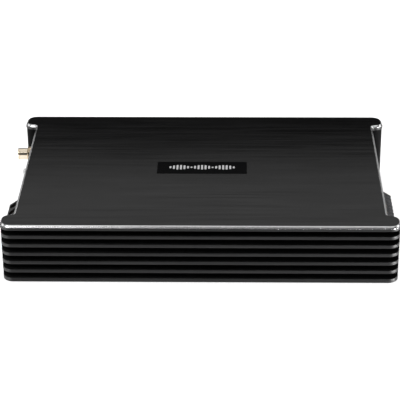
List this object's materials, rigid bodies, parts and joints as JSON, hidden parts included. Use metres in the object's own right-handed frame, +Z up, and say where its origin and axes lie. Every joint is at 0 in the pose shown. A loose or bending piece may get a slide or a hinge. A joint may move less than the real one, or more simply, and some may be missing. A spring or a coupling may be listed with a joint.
{
  "type": "car amplifier",
  "caption": "Black finned aluminium car amplifier with a dog-bone outline, silver edge bevel, recessed end panels, signal jack, level knob, power terminal and speaker plug.",
  "frame": {"origin": "middle of the underside, on the surface the amplifier rests on", "axes": "+X to the end with the speaker plug and fuses, -Y to the front fins, +Z up"},
  "size_m": [0.263, 0.172, 0.0419],
  "materials": {
    "heatsink_shell": "brushed black anodised aluminium",
    "base_cover": "black sheet metal",
    "left_end_panel": "black sheet metal",
    "right_end_panel": "black sheet metal",
    "badge_inlay": "smooth black plate",
    "badge_emblem": "raised white bars",
    "main_board": "green solder mask",
    "board_standoffs": "turned brass",
    "board_screws": "zinc plated",
    "left_panel_screws": "black zinc",
    "right_panel_screws": "black zinc",
    "base_screws": "black zinc",
    "rca_body": "moulded plastic",
    "rca_collar": "gold plated",
    "rca_shell": "gold plated",
    "rca_insulator": "white plastic",
    "rca_contact": "gold plated",
    "level_pot": "moulded plastic",
    "level_shaft": "turned steel",
    "level_knob": "satin silver",
    "control_port": "moulded plastic",
    "port_contacts": "gold plated",
    "signal_header": "moulded plastic",
    "signal_pins": "tin plated",
    "power_block": "moulded plastic",
    "power_clamps": "nickel plated",
    "power_screw_1": "slotted brass",
    "power_screw_2": "slotted brass",
    "power_screw_3": "slotted brass",
    "speaker_header": "moulded plastic",
    "speaker_pins": "tin plated",
    "speaker_plug": "ribbed moulded plastic",
    "speaker_plug_screws": "slotted brass",
    "fuse_holder": "moulded plastic",
    "fuse_1_cap": "clear orange plastic",
    "fuse_1_blades": "tin plated",
    "fuse_2_cap": "clear orange plastic",
    "fuse_2_blades": "tin plated",
    "mode_switch": "pressed steel",
    "mode_slider": "white plastic",
    "power_lamp": "blue light pipe",
    "transformer_core": "ferrite",
    "transformer_winding": "enamelled copper",
    "filter_capacitors": "sleeved can",
    "output_inductors": "ferrite",
    "front_transistors": "moulded package",
    "rear_transistors": "moulded package",
    "front_thermal_pad": "silicone",
    "rear_thermal_pad": "silicone",
    "front_clamp_bar": "mill finish",
    "rear_clamp_bar": "mill finish",
    "clamp_screws": "black zinc",
    "processor_board": "blue solder mask",
    "processor_chip": "moulded package",
    "board_link": "moulded plastic"
  },
  "bodies": {
    "chassis": {"heatsink_shell": "heatsink_shell", "base_cover": "base_cover", "left_end_panel": "left_end_panel", "right_end_panel": "right_end_panel", "badge_inlay": "badge_inlay", "badge_emblem": "badge_emblem", "main_board": "main_board", "board_standoffs": "board_standoffs", "board_screws": "board_screws", "left_panel_screws": "left_panel_screws", "right_panel_screws": "right_panel_screws", "base_screws": "base_screws", "rca_body": "rca_body", "rca_collar": "rca_collar", "rca_shell": "rca_shell", "rca_insulator": "rca_insulator", "rca_contact": "rca_contact", "level_pot": "level_pot", "control_port": "control_port", "port_contacts": "port_contacts", "signal_header": "signal_header", "signal_pins": "signal_pins", "power_block": "power_block", "power_clamps": "power_clamps", "speaker_header": "speaker_header", "speaker_pins": "speaker_pins", "fuse_holder": "fuse_holder", "mode_switch": "mode_switch", "power_lamp": "power_lamp", "transformer_core": "transformer_core", "transformer_winding": "transformer_winding", "filter_capacitors": "filter_capacitors", "output_inductors": "output_inductors", "front_transistors": "front_transistors", "rear_transistors": "rear_transistors", "front_thermal_pad": "front_thermal_pad", "rear_thermal_pad": "rear_thermal_pad", "front_clamp_bar": "front_clamp_bar", "rear_clamp_bar": "rear_clamp_bar", "clamp_screws": "clamp_screws", "processor_board": "processor_board", "processor_chip": "processor_chip", "board_link": "board_link"},
    "knob": {"level_knob": "level_knob", "level_shaft": "level_shaft"},
    "power_screw_1": {"power_screw_1": "power_screw_1"},
    "power_screw_2": {"power_screw_2": "power_screw_2"},
    "power_screw_3": {"power_screw_3": "power_screw_3"},
    "speaker_plug": {"speaker_plug": "speaker_plug", "speaker_plug_screws": "speaker_plug_screws"},
    "fuse_1": {"fuse_1_cap": "fuse_1_cap", "fuse_1_blades": "fuse_1_blades"},
    "fuse_2": {"fuse_2_cap": "fuse_2_cap", "fuse_2_blades": "fuse_2_blades"},
    "mode_slider": {"mode_slider": "mode_slider"}
  },
  "joints": [
    {"name": "level_turn", "type": "hinge", "parent": "chassis", "child": "knob", "pos_m": [-0.1216, 0.024, 0.025], "axis": [-1, 0, 0], "range_deg": [-150, 150]},
    {"name": "speaker_plug_pull", "type": "slide", "parent": "chassis", "child": "speaker_plug", "axis": [1, 0, 0], "range_m": [0, 0.014]},
    {"name": "fuse_1_pull", "type": "slide", "parent": "chassis", "child": "fuse_1", "axis": [1, 0, 0], "range_m": [0, 0.022]},
    {"name": "fuse_2_pull", "type": "slide", "parent": "chassis", "child": "fuse_2", "axis": [1, 0, 0], "range_m": [0, 0.022]},
    {"name": "mode_slide", "type": "slide", "parent": "chassis", "child": "mode_slider", "axis": [0, 1, 0], "range_m": [-0.002, 0.002]},
    {"name": "power_screw_1_turn", "type": "hinge", "parent": "chassis", "child": "power_screw_1", "pos_m": [-0.1246, -0.06205, 0.027], "axis": [0, 0, 1], "range_deg": [0, 360]},
    {"name": "power_screw_2_turn", "type": "hinge", "parent": "chassis", "child": "power_screw_2", "pos_m": [-0.1246, -0.05255, 0.027], "axis": [0, 0, 1], "range_deg": [0, 360]},
    {"name": "power_screw_3_turn", "type": "hinge", "parent": "chassis", "child": "power_screw_3", "pos_m": [-0.1246, -0.04305, 0.027], "axis": [0, 0, 1], "range_deg": [0, 360]}
  ]
}
